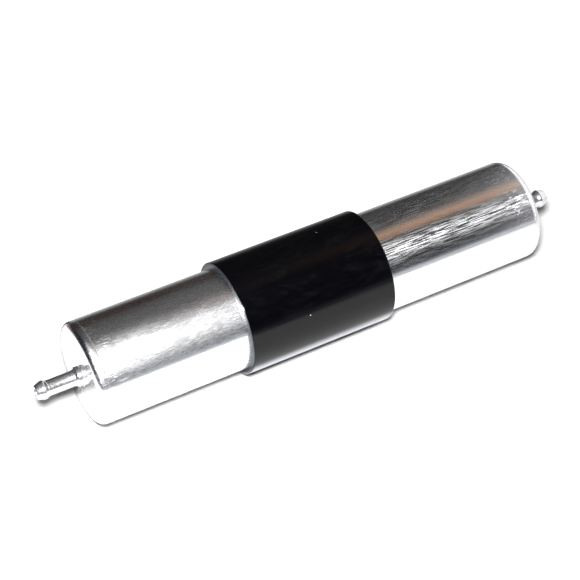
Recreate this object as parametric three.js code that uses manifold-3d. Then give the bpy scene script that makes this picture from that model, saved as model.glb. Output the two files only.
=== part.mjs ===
// In-line fuel filter: a drawn aluminium can with a hose stub in each end, a slip-on rubber sleeve where its
// mounting band grips, and a spring-loaded pleated paper element inside.
//
// Millimetres. +X runs along the can from inlet to outlet and +Z is up. The origin is on the can's centre
// line, half way between the tips of the two hose stubs. Shapes are laid out from the can's own middle and
// moved to the origin as they are added.
import * as THREE from "three";
import { mergeVertices } from "three/addons/utils/BufferGeometryUtils.js";
import Module from "manifold-3d";

const wasm = await Module();
wasm.setup();

// ---------------------------------------------------------------------------------------------------
// Driving dimensions
// ---------------------------------------------------------------------------------------------------
const CAN_RADIUS = 27;
const CAN_LENGTH = 257.5;
const CAN_WALL = 1;
const CAN_CORNER = 4; // outer radius of the rounded end corners
const COVER_EDGE = 5.5; // how far the inlet cover's shoulder stands from its end face
const COVER_SKIRT = 8; // length of the skirt that plugs into the can
const COVER_FIT = 0.1; // radial clearance of the skirt in the can

const SEAT_HEIGHT = 0.2; // low raised seat that each stub's collar stands on
const SEAT_TOP = 5.5;
const SEAT_BASE = 5.8;

const SLEEVE_LENGTH = 82;
const SLEEVE_WALL = 3.15;
const SLEEVE_CENTRE = -6.5;
const SLEEVE_EDGE = 0.4; // broken edge of the square-cut ends
const SLEEVE_FIT = 0.05;

const INLET_REACH = 23.9; // from the can's end face to the stub's tip
const OUTLET_REACH = 19.7;
const STUB_RADIUS = 4;
const STUB_BORE = 2.8;
const STUB_HOLE = 4.1; // the hole it passes through in the end wall, seal and washer
const TIP_RADIUS = 3.45;
const BARB_RADIUS = 4.9;
const BARB_PEAK = 4.1; // from the tip to the barb's crest
const BARB_NECK = 6.6; // from the tip to where the barb meets the tube
const COLLAR_RADIUS = 5.2;
const COLLAR_HEIGHT = 2.4; // from the end face to the collar's rim
const COLLAR_SLOPE = 1.7; // from the rim to where the collar runs out into the tube
const COLLAR_CHAMFER = 0.3; // length of the rim's broken edge, which is half as deep
const COLLAR_SWELL = 0.5; // what the slope still stands above the tube 0.35 of the way down
const BARB_CREST = 0.8; // half the length of the barb's rounded crest
const BARB_CROWN = 0.12; // how much the crest is rounded off
const TIP_CHAMFER = 0.3;
const FLARE_RADIUS = 5.6; // the peened inner rim that holds the stub
const FLARE_THICKNESS = 0.8;
const FLARE_CHAMFER = 0.4;

const SEAL_RADIUS = 7.4;
const SEAL_THICKNESS = 1;
const WASHER_RADIUS = 8;
const WASHER_THICKNESS = 1;

const PLEATS = 34;
const PLEAT_OUTER = 22.2;
const PLEAT_INNER = 8.8;
const PAPER = 0.5;
const FOLD_HALF = 0.8; // half the width of a fold over its tip
const ROOT_GAP = 0.13; // half the gap between neighbouring pleats at their roots
const CLIP_FIT = 0.1; // between the clip's legs and the pleat
const CLIP_SHEET = 0.4;
const CLIP_LEG = 4;
const CLIP_LIFT = 0.15; // clearance over the pleat's tip

const TUBE_RADIUS = 8.5;
const TUBE_WALL = 0.6;
const HOLE_ROWS = 8;
const HOLE_RADIUS = 2.2;

const DISC_RADIUS = 23.3;
const DISC_SHEET = 0.8;
const DISC_RIM = 5.2; // depth of each end disc's turned rim
const RIM_SHEET = 0.6; // the rim is drawn thinner than the disc
const LUG_ROOT = 0.4; // how far each lug is let into the rim
const LUG_REACH = 25.5; // the lugs centre the element in the can
const LUG_THICKNESS = 1.2;
const LUG_WIDTH = 5;
const BOND_DEPTH = 2.4;
const CUP_DEPTH = 2.5; // the inlet disc's raised cup, which centres the spring
const CUP_RADIUS = 9.6;
const CUP_ROUND = 0.5;
const CUP_FIT = 0.3; // round the end of the centre tube
const LIP_HEIGHT = 0.9; // the outlet disc's lip, which centres the face seal
const LIP_SHEET = 0.8;
const LIP_FIT = 0.2;

const FACE_SEAL_INNER = 10;
const FACE_SEAL_OUTER = 14;
const FACE_SEAL_THICKNESS = 3;

const SPRING_RADIUS = 11.4; // to the middle of the wire
const SPRING_WIRE = 1.6;
const SPRING_HEIGHT = 20;
const SPRING_TURNS = 5;
const SPRING_END_GAP = 0.25; // between an end turn and the next

const GAP = 0.05; // between faces that rest on each other

const CAN_SEGMENTS = 56;
const ELEMENT_SEGMENTS = 40;
const STUB_SEGMENTS = 24;
const TUBE_SEGMENTS = 28;
const HOLE_SEGMENTS = 8;
const SPRING_STEPS = 14; // to a turn

// Where the can's own middle stands along X
const CAN_MIDDLE = (INLET_REACH - OUTLET_REACH) / 2;

// Derived planes along X, from the can's middle
const HALF = CAN_LENGTH / 2;
const INNER_FACE = HALF - CAN_WALL; // inside of either end wall, as a distance from the middle
const SPRING_SEAT = -INNER_FACE + GAP + SPRING_HEIGHT; // spring's element end
const INLET_FLOOR = SPRING_SEAT + GAP; // outer face of the inlet end disc
const OUTLET_FLOOR = INNER_FACE - 2 * GAP - FACE_SEAL_THICKNESS; // outer face of the outlet end disc
const PAPER_START = INLET_FLOOR + DISC_SHEET + BOND_DEPTH + 2 * GAP;
const PAPER_END = OUTLET_FLOOR - DISC_SHEET - BOND_DEPTH - 2 * GAP;

// Derived planes of the pieces stacked on each stub, as distances out from the end face
const SEAL_TOP = -CAN_WALL - GAP;
const WASHER_TOP = SEAL_TOP - SEAL_THICKNESS - GAP;
const FLARE_TOP = WASHER_TOP - WASHER_THICKNESS - GAP;

// ---------------------------------------------------------------------------------------------------
// Materials
// ---------------------------------------------------------------------------------------------------
const material = (color, roughness, metalness) =>
  new THREE.MeshStandardMaterial({ color, roughness, metalness });

const ALUMINIUM = material(0xc9cacc, 0.3, 1);
const PLATED_STEEL = material(0xb9bbbd, 0.32, 1);
const TINPLATE = material(0xa7a9a6, 0.4, 1);
const SPRING_STEEL = material(0x6e7072, 0.35, 1);
const BLACK_RUBBER = material(0x0f1012, 0.45, 0);
const SEAL_RUBBER = material(0x1d2a22, 0.55, 0);
const FILTER_PAPER = material(0xd9b968, 0.9, 0);
const ADHESIVE = material(0xb5a27a, 0.6, 0);

// ---------------------------------------------------------------------------------------------------
// Geometry helpers
// ---------------------------------------------------------------------------------------------------
const filter = new THREE.Group();

function add(name, geometry, surface) {
  const mesh = new THREE.Mesh(geometry.translate(CAN_MIDDLE, 0, 0), surface);
  mesh.name = name;
  filter.add(mesh);
  return mesh;
}

// Points on an arc in an (x, radius) profile, from one angle to another in degrees.
function arc(x, r, radius, from, to, steps) {
  const points = [];
  for (let i = 0; i <= steps; i++) {
    const angle = THREE.MathUtils.degToRad(from + ((to - from) * i) / steps);
    points.push([x + radius * Math.cos(angle), r + radius * Math.sin(angle)]);
  }
  return points;
}

// A ring turned about X from a closed outline of [x, radius] points, listed either way round.
function turned(outline, segments) {
  const points = outline.map(([x, r]) => new THREE.Vector2(r, x));
  if (THREE.ShapeUtils.area(points) < 0) points.reverse();
  points.push(points[0].clone());
  return new THREE.LatheGeometry(points, segments).rotateZ(-Math.PI / 2);
}

// Turns a profile of [distance out from an end face, radius] into [x, radius] at the inlet or outlet end.
const INLET = -1;
const OUTLET = 1;
const atEnd = (end, profile) => profile.map(([u, r]) => [end * (HALF + u), r]);

const ring = (x0, x1, inner, outer) => [
  [x0, inner],
  [x1, inner],
  [x1, outer],
  [x0, outer],
];

function toSolid(geometry) {
  const bare = geometry.clone();
  bare.deleteAttribute("normal");
  bare.deleteAttribute("uv");
  const merged = mergeVertices(bare, 1e-4);
  return new wasm.Manifold(
    new wasm.Mesh({
      numProp: 3,
      vertProperties: merged.attributes.position.array,
      triVerts: new Uint32Array(merged.index.array),
    }),
  );
}

function toGeometry(solid) {
  const mesh = solid.getMesh();
  return new THREE.BufferGeometry()
    .setAttribute("position", new THREE.BufferAttribute(mesh.vertProperties, 3))
    .setIndex(new THREE.BufferAttribute(mesh.triVerts, 1));
}

const join = (solids) => solids.reduce((sum, next) => sum.add(next));

// ---------------------------------------------------------------------------------------------------
// Can and inlet cover
// ---------------------------------------------------------------------------------------------------
// One flat closed end with its rounded corner, the stub's hole and the collar's seat. The tail carries the
// outline on from the corner's outside, round the open edge, to the corner's inside.
function closedEnd(tail) {
  const centre = CAN_RADIUS - CAN_CORNER;
  return [
    [SEAT_HEIGHT, STUB_HOLE],
    [SEAT_HEIGHT, SEAT_TOP],
    [0, SEAT_BASE],
    ...arc(-CAN_CORNER, centre, CAN_CORNER, 0, 90, 5),
    ...tail,
    ...arc(-CAN_CORNER, centre, CAN_CORNER - CAN_WALL, 90, 0, 3),
    [-CAN_WALL, STUB_HOLE],
  ];
}

function canBody() {
  const mouth = -(CAN_LENGTH - COVER_EDGE - GAP);
  const tail = [
    [mouth, CAN_RADIUS],
    [mouth, CAN_RADIUS - CAN_WALL],
  ];
  return turned(atEnd(OUTLET, closedEnd(tail)), CAN_SEGMENTS);
}

function inletCover() {
  const outer = CAN_RADIUS - CAN_WALL - COVER_FIT;
  const inner = outer - CAN_WALL;
  const end = -COVER_EDGE - COVER_SKIRT;
  const tail = [
    [-COVER_EDGE, CAN_RADIUS],
    [-COVER_EDGE, outer],
    [end, outer],
    [end, inner],
    [-COVER_EDGE, inner],
  ];
  return turned(atEnd(INLET, closedEnd(tail)), CAN_SEGMENTS);
}

// ---------------------------------------------------------------------------------------------------
// Hose stubs and what holds them in the end walls
// ---------------------------------------------------------------------------------------------------
// The tube passes out through the washer, the seal and the end wall. Outside the wall its collar's rim slopes
// off into the tube like a flare, and the barb is a long smooth bead near the tip.
function hoseStub(end, tip) {
  const neck = tip - BARB_NECK;
  const peak = tip - BARB_PEAK;
  const seat = SEAT_HEIGHT + GAP;
  const rim = COLLAR_HEIGHT;
  const flareEnd = FLARE_TOP - FLARE_THICKNESS;
  const profile = [
    [flareEnd, STUB_BORE],
    [flareEnd, FLARE_RADIUS - FLARE_CHAMFER],
    [flareEnd + FLARE_CHAMFER, FLARE_RADIUS],
    [FLARE_TOP, FLARE_RADIUS],
    [FLARE_TOP, STUB_RADIUS],
    [seat, STUB_RADIUS],
    [seat, COLLAR_RADIUS],
    [rim - COLLAR_CHAMFER, COLLAR_RADIUS],
    [rim, COLLAR_RADIUS - COLLAR_CHAMFER / 2],
    [rim + COLLAR_SLOPE * 0.35, STUB_RADIUS + COLLAR_SWELL],
    [rim + COLLAR_SLOPE, STUB_RADIUS],
    [neck, STUB_RADIUS],
    [peak - BARB_CREST, BARB_RADIUS - BARB_CROWN],
    [peak, BARB_RADIUS],
    [peak + BARB_CREST, BARB_RADIUS - BARB_CROWN],
    [tip - TIP_CHAMFER, TIP_RADIUS + TIP_CHAMFER * (2 / 3)],
    [tip, TIP_RADIUS],
    [tip, STUB_BORE],
  ];
  return turned(atEnd(end, profile), STUB_SEGMENTS);
}

// A flat ring round the stub inside the end wall, given by how far its outer face stands from the end face.
function innerRing(end, top, thickness, radius) {
  return turned(atEnd(end, ring(top - thickness, top, STUB_HOLE, radius)), STUB_SEGMENTS);
}

// ---------------------------------------------------------------------------------------------------
// Mounting sleeve
// ---------------------------------------------------------------------------------------------------
function mountingSleeve() {
  const x0 = SLEEVE_CENTRE - SLEEVE_LENGTH / 2;
  const x1 = SLEEVE_CENTRE + SLEEVE_LENGTH / 2;
  const inner = CAN_RADIUS + SLEEVE_FIT;
  const outer = inner + SLEEVE_WALL;
  const outline = [
    [x0, inner],
    [x0, outer - SLEEVE_EDGE],
    [x0 + SLEEVE_EDGE, outer],
    [x1 - SLEEVE_EDGE, outer],
    [x1, outer - SLEEVE_EDGE],
    [x1, inner],
  ];
  return turned(outline, CAN_SEGMENTS);
}

// ---------------------------------------------------------------------------------------------------
// Filter element
// ---------------------------------------------------------------------------------------------------
// One side of the pleated sheet seen along X: a loop through every fold, with blunt tips and roots.
function foldLoop(tipRadius, tipHalf, rootRadius, rootHalf) {
  const step = (2 * Math.PI) / PLEATS;
  const points = [];
  const at = (radius, angle) =>
    points.push(new THREE.Vector2(radius * Math.cos(angle), radius * Math.sin(angle)));
  for (let i = 0; i < PLEATS; i++) {
    const tip = i * step;
    const root = tip + step / 2;
    at(tipRadius, tip - tipHalf / tipRadius);
    at(tipRadius, tip + tipHalf / tipRadius);
    at(rootRadius, root - rootHalf / rootRadius);
    at(rootRadius, root + rootHalf / rootRadius);
  }
  return points;
}

function pleatedPaper() {
  const outside = foldLoop(PLEAT_OUTER, FOLD_HALF, PLEAT_INNER + PAPER, ROOT_GAP);
  const inside = foldLoop(PLEAT_OUTER - PAPER, FOLD_HALF - PAPER, PLEAT_INNER, ROOT_GAP + PAPER);
  const section = new THREE.Shape(outside);
  section.holes.push(new THREE.Path(inside));
  return new THREE.ExtrudeGeometry(section, {
    depth: PAPER_END - PAPER_START,
    bevelEnabled: false,
  })
    .rotateY(Math.PI / 2)
    .translate(PAPER_START, 0, 0);
}

// A folded metal strip pinches the two ends of the paper together along the lowest pleat.
function seamClip() {
  const inner = FOLD_HALF + CLIP_FIT;
  const outer = inner + CLIP_SHEET;
  const foot = PLEAT_OUTER - CLIP_LEG;
  const crown = PLEAT_OUTER + CLIP_LIFT;
  const length = PAPER_END - PAPER_START - 2 * DISC_RIM;
  const section = new THREE.Shape([
    new THREE.Vector2(-outer, foot),
    new THREE.Vector2(-inner, foot),
    new THREE.Vector2(-inner, crown),
    new THREE.Vector2(inner, crown),
    new THREE.Vector2(inner, foot),
    new THREE.Vector2(outer, foot),
    new THREE.Vector2(outer, crown + CLIP_SHEET),
    new THREE.Vector2(-outer, crown + CLIP_SHEET),
  ]);
  return new THREE.ExtrudeGeometry(section, { depth: length, bevelEnabled: false })
    .rotateZ(-Math.PI / 2)
    .rotateY(Math.PI / 2)
    .translate((PAPER_START + PAPER_END - length) / 2, 0, 0);
}

function centreTube() {
  const start = INLET_FLOOR - CUP_DEPTH + DISC_SHEET + GAP;
  const end = OUTLET_FLOOR - DISC_SHEET - GAP;
  const wall = toSolid(
    turned(ring(start, end, TUBE_RADIUS - TUBE_WALL, TUBE_RADIUS), TUBE_SEGMENTS),
  );
  const pitch = (PAPER_END - PAPER_START) / HOLE_ROWS;
  const drills = [];
  for (let row = 0; row < HOLE_ROWS; row++) {
    const x = PAPER_START + (row + 0.5) * pitch;
    for (const angle of row % 2 ? [45, 135] : [0, 90]) {
      const drill = new THREE.CylinderGeometry(HOLE_RADIUS, HOLE_RADIUS, 3 * TUBE_RADIUS, HOLE_SEGMENTS)
        .rotateX(THREE.MathUtils.degToRad(angle))
        .translate(x, 0, 0);
      drills.push(toSolid(drill));
    }
  }
  return toGeometry(wall.subtract(join(drills)));
}

// Four lugs that reach out from an end disc's rim to the can's wall.
function lugs(x0, x1) {
  const root = DISC_RADIUS - LUG_ROOT;
  const length = LUG_REACH - root;
  return [0, 90, 180, 270].map((angle) =>
    toSolid(
      new THREE.BoxGeometry(x1 - x0, LUG_WIDTH, length)
        .translate((x0 + x1) / 2, 0, root + length / 2)
        .rotateX(THREE.MathUtils.degToRad(angle + 45)),
    ),
  );
}

// The blind disc that the spring pushes on. Its boss takes the end of the centre tube.
function inletEndDisc() {
  const floor = INLET_FLOOR;
  const inside = floor + DISC_SHEET;
  const rim = floor + DISC_RIM;
  const profile = [
    [floor - CUP_DEPTH, 0],
    [floor - CUP_DEPTH, CUP_RADIUS - CUP_ROUND],
    [floor - CUP_DEPTH + CUP_ROUND, CUP_RADIUS],
    [floor, CUP_RADIUS],
    [floor, DISC_RADIUS - RIM_SHEET],
    [floor + RIM_SHEET, DISC_RADIUS],
    [rim, DISC_RADIUS],
    [rim, DISC_RADIUS - RIM_SHEET],
    [inside, DISC_RADIUS - RIM_SHEET],
    [inside, TUBE_RADIUS + CUP_FIT],
    [inside - CUP_DEPTH, TUBE_RADIUS + CUP_FIT],
    [inside - CUP_DEPTH, 0],
  ];
  const disc = toSolid(turned(profile, ELEMENT_SEGMENTS));
  return toGeometry(join([disc, ...lugs(rim - LUG_THICKNESS, rim)]));
}

// The open disc at the outlet, with a lip that centres the face seal.
function outletEndDisc() {
  const floor = OUTLET_FLOOR;
  const inside = floor - DISC_SHEET;
  const rim = floor - DISC_RIM;
  const mouth = TUBE_RADIUS - TUBE_WALL;
  const lip = FACE_SEAL_INNER - LIP_FIT;
  const profile = [
    [inside, mouth],
    [floor + LIP_HEIGHT, lip - LIP_SHEET],
    [floor + LIP_HEIGHT, lip],
    [floor, lip],
    [floor, DISC_RADIUS - RIM_SHEET],
    [floor - RIM_SHEET, DISC_RADIUS],
    [rim, DISC_RADIUS],
    [rim, DISC_RADIUS - RIM_SHEET],
    [inside, DISC_RADIUS - RIM_SHEET],
  ];
  const disc = toSolid(turned(profile, ELEMENT_SEGMENTS));
  return toGeometry(join([disc, ...lugs(rim, rim + LUG_THICKNESS)]));
}

// The cured adhesive that pots the paper into an end disc.
function bondRing(x) {
  const outline = ring(x, x + BOND_DEPTH, TUBE_RADIUS + 0.1, DISC_RADIUS - 0.7);
  return turned(outline, ELEMENT_SEGMENTS);
}

function faceSeal() {
  const x1 = INNER_FACE - GAP;
  const x0 = x1 - FACE_SEAL_THICKNESS;
  return turned(ring(x0, x1, FACE_SEAL_INNER, FACE_SEAL_OUTER), ELEMENT_SEGMENTS);
}

// ---------------------------------------------------------------------------------------------------
// Spring between the inlet cover and the element
// ---------------------------------------------------------------------------------------------------
// A helix about X whose first and last turns lie almost flat.
class SpringPath extends THREE.Curve {
  getPoint(t, target = new THREE.Vector3()) {
    const flat = 1 / SPRING_TURNS; // share of the wire in each flat end turn
    const flatRise = (SPRING_WIRE + SPRING_END_GAP) / (SPRING_HEIGHT - SPRING_WIRE);
    const share =
      t < flat
        ? (t / flat) * flatRise
        : t > 1 - flat
          ? 1 - ((1 - t) / flat) * flatRise
          : flatRise + ((t - flat) / (1 - 2 * flat)) * (1 - 2 * flatRise);
    const angle = 2 * Math.PI * SPRING_TURNS * t;
    const start = -INNER_FACE + GAP + SPRING_WIRE / 2;
    return target.set(
      start + share * (SPRING_HEIGHT - SPRING_WIRE),
      SPRING_RADIUS * Math.cos(angle),
      SPRING_RADIUS * Math.sin(angle),
    );
  }
}

function elementSpring() {
  const wire = new THREE.Shape();
  wire.absarc(0, 0, SPRING_WIRE / 2, 0, 2 * Math.PI);
  return new THREE.ExtrudeGeometry(wire, {
    curveSegments: 3,
    steps: SPRING_TURNS * SPRING_STEPS,
    extrudePath: new SpringPath(),
  });
}

// ---------------------------------------------------------------------------------------------------
// Assembly
// ---------------------------------------------------------------------------------------------------
add("can_body", canBody(), ALUMINIUM);
add("inlet_cover", inletCover(), ALUMINIUM);
add("inlet_stub", hoseStub(INLET, INLET_REACH), PLATED_STEEL);
add("outlet_stub", hoseStub(OUTLET, OUTLET_REACH), PLATED_STEEL);
for (const [name, end] of [
  ["inlet", INLET],
  ["outlet", OUTLET],
]) {
  add(`${name}_stub_seal`, innerRing(end, SEAL_TOP, SEAL_THICKNESS, SEAL_RADIUS), SEAL_RUBBER);
  add(
    `${name}_backing_washer`,
    innerRing(end, WASHER_TOP, WASHER_THICKNESS, WASHER_RADIUS),
    PLATED_STEEL,
  );
}
add("mounting_sleeve", mountingSleeve(), BLACK_RUBBER);

add("pleated_paper", pleatedPaper(), FILTER_PAPER);
add("paper_seam_clip", seamClip(), TINPLATE);
add("centre_tube", centreTube(), TINPLATE);
add("inlet_end_disc", inletEndDisc(), TINPLATE);
add("outlet_end_disc", outletEndDisc(), TINPLATE);
add("inlet_bond_ring", bondRing(INLET_FLOOR + DISC_SHEET + GAP), ADHESIVE);
add("outlet_bond_ring", bondRing(PAPER_END + GAP), ADHESIVE);
add("element_face_seal", faceSeal(), SEAL_RUBBER);
add("element_spring", elementSpring(), SPRING_STEEL);

export default filter;
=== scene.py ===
"""Looks for a long in-line fuel filter: drawn aluminium can, barbed hose stubs, rubber mounting sleeve.

Every piece that shows is rebuilt as a fine mesh over the CAD node it stands for, and the pieces inside the
can get their own meshes or materials too. Metres throughout, in the CAD frame: +X runs from inlet to outlet
and +Z is up.
"""

import math

import bmesh
import bpy
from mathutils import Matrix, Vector


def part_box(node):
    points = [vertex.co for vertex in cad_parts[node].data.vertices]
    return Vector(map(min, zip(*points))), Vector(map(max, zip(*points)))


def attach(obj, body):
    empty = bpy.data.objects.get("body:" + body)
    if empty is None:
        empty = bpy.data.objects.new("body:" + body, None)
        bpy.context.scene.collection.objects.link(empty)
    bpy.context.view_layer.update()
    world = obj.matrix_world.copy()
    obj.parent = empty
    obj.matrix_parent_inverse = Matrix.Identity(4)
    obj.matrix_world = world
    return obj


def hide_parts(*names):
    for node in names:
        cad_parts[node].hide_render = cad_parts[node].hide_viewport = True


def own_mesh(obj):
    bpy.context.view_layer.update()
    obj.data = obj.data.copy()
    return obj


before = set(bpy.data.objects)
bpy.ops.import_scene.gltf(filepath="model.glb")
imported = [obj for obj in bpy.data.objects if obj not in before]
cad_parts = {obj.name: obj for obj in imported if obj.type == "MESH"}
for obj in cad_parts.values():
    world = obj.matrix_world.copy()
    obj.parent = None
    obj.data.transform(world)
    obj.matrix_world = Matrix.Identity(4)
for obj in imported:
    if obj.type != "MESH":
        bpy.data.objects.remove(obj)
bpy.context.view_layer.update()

# ---------------------------------------------------------------------------------------------------
# Dimensions
# ---------------------------------------------------------------------------------------------------
MM = 0.001

CAN_WALL = 1.0 * MM
CAN_CORNER = 4.0 * MM
SEAT_HEIGHT = 0.2 * MM
SEAT_TOP = 5.5 * MM
SEAT_BASE = 5.8 * MM
SEAT_EASE = 0.12 * MM  # softened top edge of the stub's seat
SEAT_BLEND = 0.8 * MM
CORNER_LEAD = 0.6 * MM  # flat run next to a rounded corner, which keeps its shading clean
SEAM_LEAD = 0.4 * MM
SKIRT_CHAMFER = 0.3 * MM
COVER_SKIRT = 8.0 * MM
COVER_FIT = 0.1 * MM
SEAM_ROUND = 0.15 * MM  # softened edges where the cover meets the can

STUB_RADIUS = 4.0 * MM
STUB_BORE = 2.8 * MM
STUB_HOLE = 4.1 * MM
TIP_RADIUS = 3.45 * MM
BARB_RADIUS = 4.9 * MM
BARB_PEAK = 4.1 * MM
BARB_NECK = 6.6 * MM
COLLAR_RADIUS = 5.2 * MM
COLLAR_HEIGHT = 2.4 * MM
COLLAR_SLOPE = 1.7 * MM
FLARE_THICKNESS = 0.8 * MM
FLARE_RADIUS = 5.6 * MM
FLARE_ROUND = 0.4 * MM
GAP = 0.05 * MM

SLEEVE_FIT = 0.05 * MM
SLEEVE_EDGE = 0.35 * MM
SLEEVE_LEAD = 0.3 * MM

PLEATS = 34
PAPER = 0.5 * MM
PAPER_BORE = 8.8 * MM
FOLD_ROUND = 0.25 * MM
FOLD_TIP_HALF = 0.8 * MM  # half the width of a fold's outer tip
FOLD_ROOT_HALF = 0.13 * MM
CRIMP_PITCH = 2.2 * MM
SPRING_WIRE = 0.8 * MM  # radius
SPRING_TURNS = 5
SPRING_END_GAP = 0.25 * MM

BOND_BORE = 8.6 * MM
FACE_SEAL_BORE = 10.0 * MM
WASHER_ROUND = 0.15 * MM
SEAL_ROUND = 0.2 * MM
BOND_ROUND = 0.4 * MM
LEAST_ROUND = 0.05 * MM

CAN_SEGMENTS = 192
STUB_SEGMENTS = 96
WIRE_SIDES = 14
TURN_STEPS = 40

SMOOTH_ANGLE = 32.0  # degrees, beyond which an edge is shaded sharp
STUB_SMOOTH_ANGLE = 40.0
PAPER_SMOOTH_ANGLE = 50.0
WIRE_SMOOTH_ANGLE = 60.0
BUMP_HEIGHT = 0.2 * MM  # height that a bump strength of one stands for

FINISH_START = -0.010  # x where the can's finish starts to change towards the outlet's
FINISH_END = 0.055

can_low, can_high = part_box("can_body")
cover_low, cover_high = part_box("inlet_cover")
sleeve_low, sleeve_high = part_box("mounting_sleeve")
inlet_low, inlet_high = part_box("inlet_stub")
outlet_low, outlet_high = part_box("outlet_stub")

CAN_RADIUS = can_high.z
INLET_FACE = cover_low.x + SEAT_HEIGHT
OUTLET_FACE = can_high.x - SEAT_HEIGHT
CAN_MOUTH = can_low.x
FLOOR = sleeve_low.z

# ---------------------------------------------------------------------------------------------------
# Camera and light
# ---------------------------------------------------------------------------------------------------
CAMERA_AZIMUTH = -29.17  # degrees
CAMERA_ELEVATION = 43.65
CAMERA_DISTANCE = 0.8923
CAMERA_LENS = 106.9  # millimetres
SENSOR_WIDTH = 36.0
LOOK_AT = Vector((-0.0064, 0.0039, -0.0011))

# One round soft lamp, a little above the camera.
LAMP_AZIMUTH = -30.9
LAMP_ELEVATION = 50.3
LAMP_DISTANCE = 0.898
LAMP_RADIUS = 0.075
LAMP_POWER = 140.0

FILL = (0.22, 0.22, 0.22)  # even light from all round
WHITE = (1.0, 1.0, 1.0)
BLACK = (0.0, 0.0, 0.0)

# What the metal mirrors, as (degrees from overhead, growing towards the camera's side, colour).
INLET_ROOM = (
    (-100, (0.100, 0.080, 0.070)),
    (-88, (0.046, 0.027, 0.022)),
    (-72, (0.030, 0.022, 0.020)),
    (-60, (0.056, 0.053, 0.053)),
    (-40, (0.085, 0.085, 0.085)),
    (30, (0.090, 0.092, 0.095)),
    (60, (0.030, 0.036, 0.044)),
    (80, (0.050, 0.065, 0.085)),
    (90, (0.300, 0.330, 0.370)),
)
OUTLET_ROOM = (
    (-100, (0.053, 0.053, 0.052)),
    (-72, (0.045, 0.044, 0.044)),
    (-60, (0.038, 0.037, 0.037)),
    (-40, (0.056, 0.054, 0.053)),
    (-26, (0.098, 0.084, 0.074)),
    (-17, (0.250, 0.180, 0.140)),
    (-8, (0.460, 0.250, 0.140)),
    (0, (0.300, 0.190, 0.130)),
    (9, (0.060, 0.057, 0.057)),
    (46, (0.022, 0.022, 0.026)),
    (72, (0.018, 0.019, 0.024)),
    (82, (0.083, 0.090, 0.112)),
    (90, (0.700, 0.720, 0.760)),
)
SIDE_WINDOW = (1.20, 1.20, 1.23)  # a bright patch past the outlet end
INLET_DARK = (0.016, 0.020, 0.034)  # the unlit side past the inlet end

SHEET_REACH = 3.0
SHEET_GREY = (0.40, 0.44)  # the sheet's colour round the object, as darkest and lightest
SHEET_WHITE = (0.70, 0.74)
SHEET_TURNS = (0.05, 0.22)  # y over which the sheet goes from the first colour to the second; being whiter further back, where less lamp light falls, is painted light
SHEET_FADE = (0.24, 0.60)  # distance over which the camera sees the sheet fade into pure white
FLOOR_SHARE = 0.9  # most of the floor's light that shows in the painted reflection of the sheet in metal and rubber
MIRROR_EDGE = 0.053  # y beyond which the painted reflection of the floor dims, as painted shade
MIRROR_FALL = 1.45


# ---------------------------------------------------------------------------------------------------
# Meshes
# ---------------------------------------------------------------------------------------------------
def arc(x, r, radius, start, stop, steps):
    """Points of an arc in an (x, radius) profile, between two angles in degrees."""
    angles = [math.radians(start + (stop - start) * i / steps) for i in range(steps + 1)]
    return [(x + radius * math.cos(a), r + radius * math.sin(a)) for a in angles]


def line(start, stop, steps):
    """Points strictly between two profile points."""
    shares = [i / steps for i in range(1, steps)]
    return [(start[0] + (stop[0] - start[0]) * s, start[1] + (stop[1] - start[1]) * s) for s in shares]


def at_inlet(profile):
    """Places a profile of (distance out of the end face, radius) at the inlet end."""
    return [(INLET_FACE - out, r) for out, r in profile]


def at_outlet(profile):
    """Places a profile of (distance out of the end face, radius) at the outlet end."""
    return [(OUTLET_FACE + out, r) for out, r in profile]


def mesh_object(name, bm, sharp=SMOOTH_ANGLE):
    bmesh.ops.recalc_face_normals(bm, faces=bm.faces)
    mesh = bpy.data.meshes.new(name)
    bm.to_mesh(mesh)
    bm.free()
    mesh.shade_smooth()
    mesh.set_sharp_from_angle(angle=math.radians(sharp))
    piece = bpy.data.objects.new(name, mesh)
    bpy.context.scene.collection.objects.link(piece)
    return piece


def turned(name, profile, segments, sharp=SMOOTH_ANGLE):
    """A ring turned about X from a closed profile of (x, radius)."""
    bm = bmesh.new()
    rings = []
    for x, r in profile:
        angles = [2 * math.pi * i / segments for i in range(segments)]
        rings.append([bm.verts.new((x, -r * math.sin(a), r * math.cos(a))) for a in angles])
    for ring, other in zip(rings, rings[1:] + rings[:1]):
        for i in range(segments):
            j = (i + 1) % segments
            bm.faces.new((ring[i], ring[j], other[j], other[i]))
    return mesh_object(name, bm, sharp)


def swept(name, path, radius, sides):
    """A round wire with closed ends along a list of points."""
    bm = bmesh.new()
    rings = []
    for i, point in enumerate(path):
        ahead = path[min(i + 1, len(path) - 1)] - path[max(i - 1, 0)]
        ahead.normalize()
        side = ahead.cross(Vector((1, 0, 0))).normalized()
        up = side.cross(ahead)
        turns = [2 * math.pi * k / sides for k in range(sides)]
        rings.append([bm.verts.new(point + radius * (side * math.cos(t) + up * math.sin(t))) for t in turns])
    for ring, other in zip(rings, rings[1:]):
        for k in range(sides):
            j = (k + 1) % sides
            bm.faces.new((ring[k], ring[j], other[j], other[k]))
    bm.faces.new(rings[0])
    bm.faces.new(rings[-1])
    return mesh_object(name, bm, WIRE_SMOOTH_ANGLE)


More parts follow.
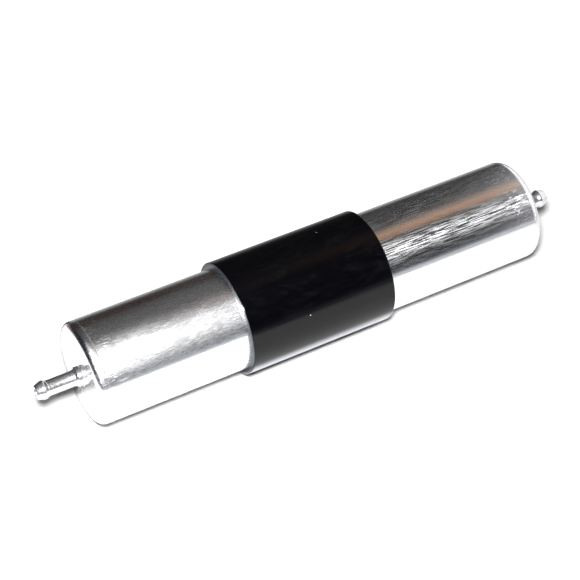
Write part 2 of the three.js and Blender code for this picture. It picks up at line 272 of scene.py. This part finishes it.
# ---------------------------------------------------------------------------------------------------
# Shader helpers
# ---------------------------------------------------------------------------------------------------
class Nodes:
    """Short calls for building a node tree."""

    def __init__(self, tree):
        self.tree = tree
        tree.nodes.clear()

    def add(self, kind, settings=None, **inputs):
        node = self.tree.nodes.new(kind)
        for key, value in (settings or {}).items():
            setattr(node, key, value)
        for key, value in inputs.items():
            self.put(node.inputs[key.replace("_", " ")], value)
        return node

    def put(self, socket, value):
        if isinstance(value, bpy.types.NodeSocket):
            self.tree.links.new(value, socket)
        elif isinstance(value, tuple) and len(value) == 3 and socket.type == "RGBA":
            socket.default_value = (*value, 1.0)
        else:
            socket.default_value = value

    def product(self, a, b):
        return self.math("MULTIPLY", a, b)

    def math(self, operation, a, b=0.0, clamp=False):
        node = self.tree.nodes.new("ShaderNodeMath")
        node.operation = operation
        node.use_clamp = clamp
        self.put(node.inputs[0], a)
        self.put(node.inputs[1], b)
        return node.outputs[0]

    def ramp(self, value, low, high, out_low=0.0, out_high=1.0):
        """Smooth step from out_low to out_high as value goes from low to high."""
        node = self.tree.nodes.new("ShaderNodeMapRange")
        node.interpolation_type = "SMOOTHSTEP"
        for socket, item in zip(node.inputs, (value, low, high, out_low, out_high)):
            self.put(socket, item)
        return node.outputs["Result"]

    def noise(self, vector, scale, detail=3.0, roughness=0.6, distortion=0.0):
        node = self.add("ShaderNodeTexNoise", Vector=vector, Scale=scale, Detail=detail)
        self.put(node.inputs["Roughness"], roughness)
        self.put(node.inputs["Distortion"], distortion)
        return node.outputs["Fac"]

    def stretched_noise(self, vector, along, around, detail=3.0, roughness=0.6, distortion=0.0):
        """Noise with one scale along the part's axis and another across it."""
        return self.noise(self.stretch(vector, along, around, around), 1.0, detail, roughness, distortion)

    def stretch(self, vector, x, y, z):
        node = self.tree.nodes.new("ShaderNodeVectorMath")
        node.operation = "MULTIPLY"
        self.put(node.inputs[0], vector)
        node.inputs[1].default_value = (x, y, z)
        return node.outputs[0]

    def bands(self, degrees, stops):
        """A colour ramp over an angle in degrees, from (angle, colour) stops."""
        low, high = stops[0][0], stops[-1][0]
        node = self.tree.nodes.new("ShaderNodeValToRGB")
        scaled = self.math("DIVIDE", self.math("SUBTRACT", degrees, low), high - low)
        self.put(node.inputs[0], scaled)
        elements = node.color_ramp.elements
        for element, (angle, colour) in zip(elements, (stops[0], stops[-1])):
            element.position = (angle - low) / (high - low)
            element.color = (*colour, 1.0)
        for angle, colour in stops[1:-1]:
            elements.new((angle - low) / (high - low)).color = (*colour, 1.0)
        return node.outputs["Color"]

    def mix(self, share, a, b):
        node = self.tree.nodes.new("ShaderNodeMix")
        node.data_type = "RGBA"
        self.put(node.inputs["Factor"], share)
        self.put(node.inputs[6], a)
        self.put(node.inputs[7], b)
        return node.outputs[2]

    def bump(self, height, strength, distance, normal=None):
        node = self.add("ShaderNodeBump", Height=height, Strength=strength, Distance=distance)
        if normal is not None:
            self.put(node.inputs["Normal"], normal)
        return node.outputs["Normal"]

    def geometry(self, name):
        return self.tree.nodes.new("ShaderNodeNewGeometry").outputs[name]

    def dot(self, a, b):
        node = self.tree.nodes.new("ShaderNodeVectorMath")
        node.operation = "DOT_PRODUCT"
        self.put(node.inputs[0], a)
        self.put(node.inputs[1], b)
        return node.outputs["Value"]

    def ray(self, name):
        return self.tree.nodes.new("ShaderNodeLightPath").outputs[name]

    def place(self):
        """The point being shaded, in metres in the piece's own frame."""
        return self.tree.nodes.new("ShaderNodeTexCoord").outputs["Object"]

    def split(self, vector):
        parts = self.add("ShaderNodeSeparateXYZ", Vector=vector).outputs
        return parts["X"], parts["Y"], parts["Z"]

    def shader(self, **inputs):
        return self.add("ShaderNodeBsdfPrincipled", **inputs)


def new_material(name):
    material = bpy.data.materials.new(name)
    material.use_nodes = True
    return material, Nodes(material.node_tree)


def finish_surface(n, shader):
    output = n.tree.nodes.new("ShaderNodeOutputMaterial")
    n.tree.links.new(shader.outputs[0], output.inputs["Surface"])


def finish_blend(n, share, first, second):
    """Ends a material with two shaders mixed."""
    mixed = n.tree.nodes.new("ShaderNodeMixShader")
    n.put(mixed.inputs[0], share)
    n.tree.links.new(first.outputs[0], mixed.inputs[1])
    n.tree.links.new(second.outputs[0], mixed.inputs[2])
    finish_surface(n, mixed)


# ---------------------------------------------------------------------------------------------------
# Materials
# ---------------------------------------------------------------------------------------------------
def can_aluminium():
    """Bright drawn aluminium: a mirror-like skin broken up by lengthwise drawing lines, grain and scuffs."""
    material, n = new_material("drawn_aluminium")
    point = n.place()
    x = n.split(point)[0]
    lines = n.stretched_noise(point, 75, 1700, 4.0, 0.66, 0.3)
    fine_lines = n.stretched_noise(point, 110, 3200, 2.0, 0.6)
    grain = n.stretched_noise(point, 1500, 2600, 3.0, 0.75)
    cloud = n.stretched_noise(point, 45, 130, 4.0, 0.6)
    dashes = n.stretched_noise(point, 300, 1900, 3.0, 0.7)
    spots = n.stretched_noise(point, 260, 900, 4.0, 0.7)

    outlet_half = n.ramp(x, FINISH_START, FINISH_END)

    def changing(at_inlet_end, at_outlet_end):
        return n.ramp(outlet_half, 0.0, 1.0, at_inlet_end, at_outlet_end)

    streaks = n.ramp(n.math("ADD", n.product(lines, 0.6), n.product(fine_lines, 0.4)), 0.455, 0.565)
    mottle = n.ramp(n.math("ADD", n.product(dashes, 0.62), n.product(cloud, 0.38)), 0.42, 0.58)
    worn = n.mix(outlet_half, mottle, streaks)
    scuffs = n.product(n.ramp(spots, 0.66, 0.70), n.ramp(cloud, 0.50, 0.62))
    near_end = n.math("MAXIMUM", n.ramp(x, -0.104, -0.121), n.ramp(x, 0.106, 0.122))
    knocks = n.product(n.ramp(spots, 0.575, 0.605), near_end)

    matt_share = n.ramp(worn, 0.0, 1.0, changing(0.155, 0.006), changing(0.28, 0.24))
    matt_share = n.math("ADD", matt_share, n.product(scuffs, 0.35), clamp=True)
    matt_share = n.math("ADD", matt_share, n.product(knocks, 0.55), clamp=True)
    fine = n.bump(grain, changing(0.09, 0.012), BUMP_HEIGHT)
    normal = n.bump(n.math("ADD", lines, fine_lines), changing(0.03, 0.045), BUMP_HEIGHT, fine)
    colour = n.mix(cloud, (0.80, 0.80, 0.81), (0.90, 0.90, 0.91))
    skin = n.shader(Base_Color=colour, Metallic=1.0, Roughness=0.10, Normal=normal)
    # Towards the outlet the matt part spreads light along the can more than round it.
    around = n.add("ShaderNodeTangent", {"direction_type": "RADIAL", "axis": "X"}).outputs[0]
    matt = n.add("ShaderNodeBsdfAnisotropic", {"distribution": "BECKMANN"}, Color=colour, Tangent=around)
    n.put(matt.inputs["Roughness"], changing(0.505, 0.485))
    n.put(matt.inputs["Anisotropy"], changing(0.0, 0.37))
    n.put(matt.inputs["Normal"], fine)
    finish_blend(n, matt_share, skin, matt)
    return material


def plated_steel():
    """Bright plating, dulled in patches, with faint turning rings."""
    material, n = new_material("plated_steel")
    point = n.place()
    grain = n.noise(point, 900.0)
    turning = n.stretched_noise(point, 3000, 120, 2.0)
    colour = n.mix(grain, (0.66, 0.66, 0.67), (0.80, 0.80, 0.81))
    normal = n.bump(turning, 0.10, BUMP_HEIGHT)
    skin = n.shader(Base_Color=colour, Metallic=1.0, Roughness=0.14, Normal=normal)
    dull = n.shader(Base_Color=colour, Metallic=1.0, Roughness=0.56, Normal=normal)
    finish_blend(n, n.ramp(grain, 0.3, 0.7, 0.06, 0.18), skin, dull)
    return material


def black_rubber():
    """Rubber tube, smooth outside and duller where it was cut, with handling smudges and dust, and a painted
    sheen along its underside.
    """
    material, n = new_material("sleeve_rubber")
    point = n.place()
    smudge = n.stretched_noise(point, 70, 190, 6.0, 0.68, 0.8)
    skin = n.noise(point, 1500.0, 2.0, 0.5)
    dust_cells = n.add("ShaderNodeTexVoronoi", Vector=point, Scale=95.0)
    speck = n.ramp(dust_cells.outputs["Distance"], 0.034, 0.018)
    cell_tint = n.add("ShaderNodeSeparateColor", Color=dust_cells.outputs["Color"])
    dust = n.product(speck, n.math("GREATER_THAN", cell_tint.outputs[0], 0.78))

    facing = n.geometry("Normal")
    normal_x, normal_y, normal_z = n.split(facing)
    cut = n.ramp(n.math("ABSOLUTE", normal_x), 0.75, 0.95)
    grazing = n.ramp(n.dot(facing, n.geometry("Incoming")), 0.42, 0.20)
    downward = n.ramp(normal_z, 0.20, -0.15)

    film = n.product(n.ramp(smudge, 0.48, 0.74), 0.45)
    colour = n.mix(film, (0.0004, 0.0004, 0.0007), (0.0022, 0.0023, 0.0031))
    colour = n.mix(cut, colour, (0.010, 0.012, 0.015))
    colour = n.mix(dust, colour, (0.30, 0.32, 0.36))
    rough = n.math("ADD", n.ramp(smudge, 0.40, 0.70, 0.13, 0.18), n.product(cut, 0.4))
    body = n.shader(Base_Color=colour, Roughness=rough, IOR=1.34, Normal=n.bump(skin, 0.04, BUMP_HEIGHT))
    # Painted sheen: a glossy layer shows the floor's real reflection, but is mixed in only where the rubber
    # faces down and is seen at a grazing angle.
    sheen = n.add("ShaderNodeBsdfAnisotropic", Color=(0.86, 0.89, 0.94), Roughness=0.07)
    finish_blend(n, n.product(n.product(grazing, downward), 0.50), body, sheen)
    return material


def speckled(name, dark, light, metallic, roughness, scale, depth):
    """A plain material with fine grain in colour, roughness and height."""
    material, n = new_material(name)
    point = n.place()
    grain = n.noise(point, scale, 4.0, 0.65)
    broad = n.noise(point, scale * 0.08)
    share = n.ramp(n.math("ADD", n.product(grain, 0.6), n.product(broad, 0.4)), 0.35, 0.65)
    rough = n.ramp(grain, 0.3, 0.7, *roughness)
    colour = n.mix(share, dark, light)
    normal = n.bump(grain, 0.25, depth)
    finish_surface(n, n.shader(Base_Color=colour, Metallic=metallic, Roughness=rough, Normal=normal))
    return material


def filter_paper():
    """Resin-treated crimped filter paper: fibrous, with fine crimp lines that run round the element."""
    material, n = new_material("filter_paper")
    point = n.place()
    x = n.split(point)[0]
    fibre = n.noise(point, 2400.0, 5.0, 0.7)
    crimp = n.math("SINE", n.product(x, 2 * math.pi / CRIMP_PITCH))
    stain = n.stretched_noise(point, 20, 70)
    colour = n.mix(n.ramp(fibre, 0.3, 0.7), (0.52, 0.36, 0.12), (0.80, 0.62, 0.28))
    colour = n.mix(n.ramp(stain, 0.55, 0.8), colour, (0.45, 0.30, 0.10))
    normal = n.bump(n.math("ADD", n.product(crimp, 0.3), fibre), 0.5, BUMP_HEIGHT)
    finish_surface(n, n.shader(Base_Color=colour, Roughness=0.88, Normal=normal))
    return material


ALUMINIUM = can_aluminium()
STEEL = plated_steel()
RUBBER = black_rubber()
PAPER_SKIN = filter_paper()
SEAL = speckled(
    "seal_rubber", (0.008, 0.014, 0.010), (0.020, 0.032, 0.024), 0.0, (0.45, 0.65), 1800.0, 0.1 * MM
)
TINPLATE = speckled(
    "tinplate", (0.42, 0.42, 0.41), (0.66, 0.66, 0.64), 1.0, (0.30, 0.48), 1200.0, 0.1 * MM
)
SPRING_STEEL = speckled(
    "spring_steel", (0.17, 0.17, 0.18), (0.34, 0.34, 0.36), 1.0, (0.28, 0.42), 1600.0, 0.1 * MM
)
ADHESIVE = speckled(
    "potting_adhesive", (0.40, 0.33, 0.18), (0.52, 0.44, 0.27), 0.0, (0.45, 0.65), 700.0, 0.2 * MM
)


def finished(piece, material, body, slot, *nodes):
    """Gives a piece its material and the body it rides on, and hides the CAD nodes it stands for."""
    piece.data.materials.append(material)
    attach(piece, body)
    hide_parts(*nodes)
    return piece


# ---------------------------------------------------------------------------------------------------
# Can, cover and stubs
# ---------------------------------------------------------------------------------------------------
def closed_end(tail):
    """A closed end as (distance out of the end face, radius), as in the CAD but with finer rounds."""
    centre = CAN_RADIUS - CAN_CORNER
    outside = [
        (SEAT_HEIGHT, STUB_HOLE),
        (SEAT_HEIGHT, SEAT_TOP),
        (SEAT_HEIGHT * 0.7, SEAT_TOP + SEAT_EASE),
        (0.0, SEAT_BASE),
        (0.0, SEAT_BASE + SEAT_BLEND),
        (0.0, centre - CORNER_LEAD),
    ]
    corner = arc(-CAN_CORNER, centre, CAN_CORNER, 0, 90, 18)
    inner_corner = arc(-CAN_CORNER, centre, CAN_CORNER - CAN_WALL, 90, 0, 6)
    return outside + corner + tail + inner_corner + [(-CAN_WALL, STUB_HOLE)]


def drawn_can():
    """The can with its closed outlet end and its open mouth, where the cover goes in."""
    length = OUTLET_FACE - CAN_MOUTH
    start = -CAN_CORNER - CORNER_LEAD
    end = -length + SEAM_ROUND + SEAM_LEAD
    side = [(start, CAN_RADIUS)] + line((start, CAN_RADIUS), (end, CAN_RADIUS), 48) + [(end, CAN_RADIUS)]
    lip = arc(-length + SEAM_ROUND, CAN_RADIUS - SEAM_ROUND, SEAM_ROUND, 90, 180, 3)
    tail = side + lip + [(-length, CAN_RADIUS - CAN_WALL)]
    can = turned("drawn_can", at_outlet(closed_end(tail)), CAN_SEGMENTS)
    return finished(can, ALUMINIUM, "housing", "aluminium", "can_body")


def end_cover():
    """The inlet end, with a skirt that goes into the can's mouth."""
    edge = INLET_FACE - cover_high.x + COVER_SKIRT
    skirt = CAN_RADIUS - CAN_WALL - COVER_FIT
    tail = [(edge + SEAM_ROUND + SEAM_LEAD, CAN_RADIUS)]
    tail += arc(edge + SEAM_ROUND, CAN_RADIUS - SEAM_ROUND, SEAM_ROUND, 90, 180, 3)
    tail += [
        (edge, skirt),
        (edge - COVER_SKIRT + SKIRT_CHAMFER, skirt),
        (edge - COVER_SKIRT, skirt - SKIRT_CHAMFER),
        (edge - COVER_SKIRT, skirt - CAN_WALL),
        (edge, skirt - CAN_WALL),
    ]
    cover = turned("end_cover", at_inlet(closed_end(tail)), CAN_SEGMENTS)
    return finished(cover, ALUMINIUM, "housing", "aluminium", "inlet_cover")


def smooth_rise(start, stop, steps):
    """Points on an S-shaped run between two (distance, radius) points, leaving out the first."""
    shares = [i / steps for i in range(1, steps + 1)]
    rise = stop[1] - start[1]
    return [(start[0] + (stop[0] - start[0]) * s, start[1] + rise * s * s * (3 - 2 * s)) for s in shares]


def stub_profile(tip, flare_end):
    """A hose stub from its flare inside the can to its tip, as (distance out of the end face, radius)."""
    seat = SEAT_HEIGHT + GAP
    neck = tip - BARB_NECK
    peak = tip - BARB_PEAK
    flare_top = flare_end + FLARE_THICKNESS
    inside = [
        (flare_end, STUB_BORE + 0.2 * MM),
        (flare_end, FLARE_RADIUS - FLARE_ROUND),
        (flare_end + 0.3 * FLARE_ROUND, FLARE_RADIUS - 0.3 * FLARE_ROUND),
        (flare_end + FLARE_ROUND, FLARE_RADIUS),
        (flare_top, FLARE_RADIUS),
        (flare_top, STUB_RADIUS),
        (seat, STUB_RADIUS),
    ]
    collar = [
        (seat, COLLAR_RADIUS),
        (COLLAR_HEIGHT - 0.5 * MM, COLLAR_RADIUS),
        (COLLAR_HEIGHT - 0.2 * MM, COLLAR_RADIUS - 0.02 * MM),
        (COLLAR_HEIGHT, COLLAR_RADIUS - 0.15 * MM),
        (COLLAR_HEIGHT + 0.25 * COLLAR_SLOPE, STUB_RADIUS + 0.66 * MM),
        (COLLAR_HEIGHT + 0.5 * COLLAR_SLOPE, STUB_RADIUS + 0.3 * MM),
        (COLLAR_HEIGHT + 0.75 * COLLAR_SLOPE, STUB_RADIUS + 0.09 * MM),
        (COLLAR_HEIGHT + COLLAR_SLOPE, STUB_RADIUS),
    ]
    barb = [(neck, STUB_RADIUS)] + smooth_rise((neck, STUB_RADIUS), (peak, BARB_RADIUS), 7)
    nose = [
        (peak + 0.5 * MM, BARB_RADIUS - 0.03 * MM),
        (peak + 1.1 * MM, BARB_RADIUS - 0.2 * MM),
        (peak + 2.2 * MM, BARB_RADIUS - 0.62 * MM),
        (tip - 0.6 * MM, TIP_RADIUS + 0.38 * MM),
        (tip - 0.2 * MM, TIP_RADIUS + 0.2 * MM),
        (tip, TIP_RADIUS),
        (tip, STUB_BORE + 0.25 * MM),
        (tip - 0.1 * MM, STUB_BORE + 0.07 * MM),
        (tip - 0.35 * MM, STUB_BORE),
        (flare_end + 0.3 * MM, STUB_BORE),
    ]
    return inside + collar + barb + nose


def inlet_stub():
    profile = stub_profile(INLET_FACE - inlet_low.x, INLET_FACE - inlet_high.x)
    stub = turned("inlet_hose_stub", at_inlet(profile), STUB_SEGMENTS, STUB_SMOOTH_ANGLE)
    return finished(stub, STEEL, "housing", "plated_steel", "inlet_stub")


def outlet_stub():
    profile = stub_profile(outlet_high.x - OUTLET_FACE, outlet_low.x - OUTLET_FACE)
    stub = turned("outlet_hose_stub", at_outlet(profile), STUB_SEGMENTS, STUB_SMOOTH_ANGLE)
    return finished(stub, STEEL, "housing", "plated_steel", "outlet_stub")


# ---------------------------------------------------------------------------------------------------
# Sleeve
# ---------------------------------------------------------------------------------------------------
def rubber_sleeve():
    x0, x1 = sleeve_low.x, sleeve_high.x
    outer = sleeve_high.z
    inner = CAN_RADIUS + SLEEVE_FIT
    edge = SLEEVE_EDGE
    start = (x0 + edge + SLEEVE_LEAD, outer)
    stop = (x1 - edge - SLEEVE_LEAD, outer)
    profile = [(x0, inner), (x0, (inner + outer) / 2)]
    profile += arc(x0 + edge, outer - edge, edge, 180, 90, 4)
    profile += [start] + line(start, stop, 20) + [stop]
    profile += arc(x1 - edge, outer - edge, edge, 90, 0, 4)
    profile += [(x1, (inner + outer) / 2), (x1, inner)]
    sleeve = turned("rubber_sleeve", profile, CAN_SEGMENTS)
    return finished(sleeve, RUBBER, "sleeve", "black_rubber", "mounting_sleeve")


# ---------------------------------------------------------------------------------------------------
# Inside pieces
# ---------------------------------------------------------------------------------------------------
def coil_share(t):
    """How far along the spring its wire is at share t of its turns, with nearly flat end turns."""
    low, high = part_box("element_spring")
    flat = 1 / SPRING_TURNS
    rise = (2 * SPRING_WIRE + SPRING_END_GAP) / (high.x - low.x - 2 * SPRING_WIRE)
    if t < flat:
        return t / flat * rise
    if t > 1 - flat:
        return 1 - (1 - t) / flat * rise
    return rise + (t - flat) / (1 - 2 * flat) * (1 - 2 * rise)


def coil_spring():
    """The element's spring, made at one length; the real one shortens as the element lifts."""
    low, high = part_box("element_spring")
    mean = high.y - SPRING_WIRE
    length = high.x - low.x - 2 * SPRING_WIRE
    path = []
    steps = SPRING_TURNS * TURN_STEPS
    for i in range(steps + 1):
        angle = 2 * math.pi * SPRING_TURNS * i / steps
        x = low.x + SPRING_WIRE + coil_share(i / steps) * length
        path.append(Vector((x, mean * math.cos(angle), mean * math.sin(angle))))
    spring = swept("coil_spring", path, SPRING_WIRE, WIRE_SIDES)
    finished(spring, SPRING_STEEL, "housing", "spring_steel", "element_spring")
    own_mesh(spring)
    return spring


def folded_outline(outer):
    """The paper's two faces across the element, each a loop of (angle, radius) with rounded folds."""
    outside, inside = [], []
    step = 2 * math.pi / PLEATS
    shares = [-1.0, -0.5, 0.0, 0.5, 1.0]
    for i in range(PLEATS):
        tip = -math.pi / 2 + i * step
        root = tip + step / 2
        for share in shares:
            lift = FOLD_ROUND * share**2
            half = FOLD_TIP_HALF * share
            outside.append((tip + half / outer, outer - lift))
            inside.append((tip + half * 0.4 / outer, outer - PAPER - lift * 0.5))
        for share in shares:
            lift = FOLD_ROUND * share**2
            half = FOLD_ROOT_HALF * share
            outside.append((root + half / PAPER_BORE, PAPER_BORE + PAPER + lift * 0.5))
            inside.append((root + half * 4.5 / PAPER_BORE, PAPER_BORE + lift))
    return outside, inside


def pleated_sheet():
    """The folded paper as one closed sheet."""
    low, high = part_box("pleated_paper")
    loops = folded_outline(high.z)
    count = len(loops[0])
    bm = bmesh.new()
    rings = []
    for x in (low.x, (low.x + high.x) / 2, high.x):
        ring = []
        for loop in loops:
            ring.append([bm.verts.new((x, r * math.cos(a), r * math.sin(a))) for a, r in loop])
        rings.append(ring)
    for here, there in zip(rings, rings[1:]):
        for k in range(count):
            j = (k + 1) % count
            bm.faces.new((here[0][k], here[0][j], there[0][j], there[0][k]))
            bm.faces.new((here[1][j], here[1][k], there[1][k], there[1][j]))
    for out, into in (rings[0], rings[-1]):
        for k in range(count):
            j = (k + 1) % count
            bm.faces.new((out[k], out[j], into[j], into[k]))
    paper = mesh_object("pleated_sheet", bm, PAPER_SMOOTH_ANGLE)
    return finished(paper, PAPER_SKIN, "element", "filter_paper", "pleated_paper")


def plain_ring(name, node, inner, material, body, slot, round_off=0.0):
    """A flat ring that fills its CAD node's box, with rounded edges."""
    low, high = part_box(node)
    x0, x1, outer = low.x, high.x, high.z
    e = max(round_off, LEAST_ROUND)
    profile = arc(x0 + e, inner + e, e, 270, 180, 3) + arc(x0 + e, outer - e, e, 180, 90, 3)
    profile += arc(x1 - e, outer - e, e, 90, 0, 3) + arc(x1 - e, inner + e, e, 360, 270, 3)
    ring = turned(name, profile, STUB_SEGMENTS)
    return finished(ring, material, body, slot, node)


def carried_over(node, material):
    """Keeps a CAD node's own mesh and gives it a better material."""
    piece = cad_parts[node]
    piece.data.materials.clear()
    piece.data.materials.append(material)


# ---------------------------------------------------------------------------------------------------
# Stage
# ---------------------------------------------------------------------------------------------------
def direction(azimuth, elevation):
    """From the object towards a viewer, with azimuth 0 on the -Y side."""
    a, e = math.radians(azimuth), math.radians(elevation)
    return Vector((math.sin(a) * math.cos(e), -math.cos(a) * math.cos(e), math.sin(e)))


def painted_floor_reflection(n, x, y):
    """Painted reflection: how much of the sheet's brightness the metal and rubber mirror.

    It dims behind the object as painted shade, except past the outlet and inlet ends. It is dark far out
    past the inlet, and a painted shadow darkens a strip that runs back from under the inlet end.
    """
    far_y = n.math("MAXIMUM", y, MIRROR_EDGE)
    # Painted shade: what is mirrored of the sheet dims with distance behind the object.
    behind = n.math("POWER", n.math("DIVIDE", MIRROR_EDGE, far_y), MIRROR_FALL)
    past_outlet = n.product(n.ramp(x, 0.17, 0.22), n.ramp(y, 0.12, 0.05))
    past_inlet = n.product(n.ramp(x, -0.126, -0.133), n.ramp(y, 0.17, 0.11))
    bright = n.math("MAXIMUM", behind, n.math("MAXIMUM", past_outlet, past_inlet))
    # Painted shadow: a dark strip in the mirrored sheet, running back from under the inlet end.
    painted_stub_shadow = n.product(n.ramp(x, -0.134, -0.129), n.ramp(x, -0.098, -0.106))
    painted_stub_shadow = n.product(painted_stub_shadow, n.ramp(y, 0.012, 0.022))
    bright = n.product(bright, n.math("SUBTRACT", 1.0, n.product(painted_stub_shadow, 0.92)))
    return n.product(n.math("MINIMUM", bright, FLOOR_SHARE), n.ramp(x, -0.50, -0.26))


def floor():
    """A pale sheet that fades into white and grows whiter further back as painted light. Only reflections
    see it dimmed, by painted shade.
    """
    bm = bmesh.new()
    reach = SHEET_REACH
    corners = [(-reach, -reach), (reach, -reach), (reach, reach), (-reach, reach)]
    bm.faces.new([bm.verts.new((x, y, FLOOR)) for x, y in corners])
    sheet = mesh_object("floor_sheet", bm)
    material, n = new_material("white_sheet")
    point = n.place()
    x, y, z = n.split(point)
    fibre = n.noise(point, 900.0)
    grey, white = (n.mix(fibre, (dark,) * 3, (light,) * 3) for dark, light in (SHEET_GREY, SHEET_WHITE))
    # Painted light: the sheet grows whiter further back, where less lamp light falls.
    colour = n.mix(n.ramp(y, *SHEET_TURNS), grey, white)
    # Painted reflection: glossy rays see the sheet dimmed by painted shade, everything else sees its colour.
    reflected = n.ray("Is Glossy Ray")
    direct = n.math("SUBTRACT", 1.0, reflected)
    shown = n.math("ADD", n.product(painted_floor_reflection(n, x, y), reflected), direct)
    colour = n.mix(shown, BLACK, colour)
    distance = n.math("SQRT", n.math("ADD", n.product(x, x), n.product(y, y)))
    fade = n.product(n.ramp(distance, *SHEET_FADE), n.ray("Is Camera Ray"))
    skin = n.shader(Base_Color=colour, Roughness=0.9, Emission_Color=WHITE, Emission_Strength=fade)
    n.put(skin.inputs["Normal"], n.bump(fibre, 0.05, BUMP_HEIGHT))
    finish_surface(n, skin)
    sheet.data.materials.append(material)


def room():
    """White to the camera, an even fill to matt surfaces, and painted surroundings to what is shiny."""
    world = bpy.data.worlds.new("room")
    bpy.context.scene.world = world
    world.use_nodes = True
    n = Nodes(world.node_tree)
    x, y, z = n.split(n.tree.nodes.new("ShaderNodeTexCoord").outputs["Generated"])
    turn = n.math("ARCTAN2", n.product(y, -1.0), z)
    degrees = n.product(turn, 180 / math.pi)
    mirrored = n.mix(n.ramp(x, 0.30, 0.40), n.bands(degrees, INLET_ROOM), n.bands(degrees, OUTLET_ROOM))
    mirrored = n.mix(n.ramp(x, 0.482, 0.525), mirrored, SIDE_WINDOW)
    mirrored = n.mix(n.ramp(x, -0.52, -0.36), INLET_DARK, mirrored)
    colour = n.mix(n.ray("Is Glossy Ray"), FILL, mirrored)
    colour = n.mix(n.ray("Is Camera Ray"), colour, WHITE)
    background = n.add("ShaderNodeBackground", Color=colour)
    output = n.tree.nodes.new("ShaderNodeOutputWorld")
    n.tree.links.new(background.outputs[0], output.inputs["Surface"])


def soft_lamp():
    light = bpy.data.lights.new("soft_lamp", "POINT")
    light.energy = LAMP_POWER
    light.shadow_soft_size = LAMP_RADIUS
    lamp = bpy.data.objects.new("soft_lamp", light)
    lamp.location = LOOK_AT + direction(LAMP_AZIMUTH, LAMP_ELEVATION) * LAMP_DISTANCE
    bpy.context.scene.collection.objects.link(lamp)


def camera():
    lens = bpy.data.cameras.new("camera")
    lens.lens = CAMERA_LENS
    lens.sensor_width = SENSOR_WIDTH
    back = direction(CAMERA_AZIMUTH, CAMERA_ELEVATION)
    view = bpy.data.objects.new("camera", lens)
    view.location = LOOK_AT + back * CAMERA_DISTANCE
    view.rotation_mode = "QUATERNION"
    view.rotation_quaternion = (-back).to_track_quat("-Z", "Y")
    bpy.context.scene.collection.objects.link(view)
    bpy.context.scene.camera = view


# ---------------------------------------------------------------------------------------------------
# Build
# ---------------------------------------------------------------------------------------------------
drawn_can()
end_cover()
inlet_stub()
outlet_stub()
rubber_sleeve()

coil_spring()
pleated_sheet()
for end in ("inlet", "outlet"):
    washer = f"{end}_backing_washer"
    plain_ring(f"{end}_washer", washer, STUB_HOLE, STEEL, "housing", "plated_steel", WASHER_ROUND)
    plain_ring(f"{end}_seal", f"{end}_stub_seal", STUB_HOLE, SEAL, "housing", "seal_rubber", SEAL_ROUND)
    plain_ring(f"{end}_bond", f"{end}_bond_ring", BOND_BORE, ADHESIVE, "element", "adhesive", BOND_ROUND)
plain_ring("face_seal", "element_face_seal", FACE_SEAL_BORE, SEAL, "element", "seal_rubber", BOND_ROUND)
for node in ("inlet_end_disc", "outlet_end_disc", "centre_tube", "paper_seam_clip"):
    carried_over(node, TINPLATE)

floor()
room()
soft_lamp()
camera()
bpy.context.scene.view_settings.view_transform = "Standard"
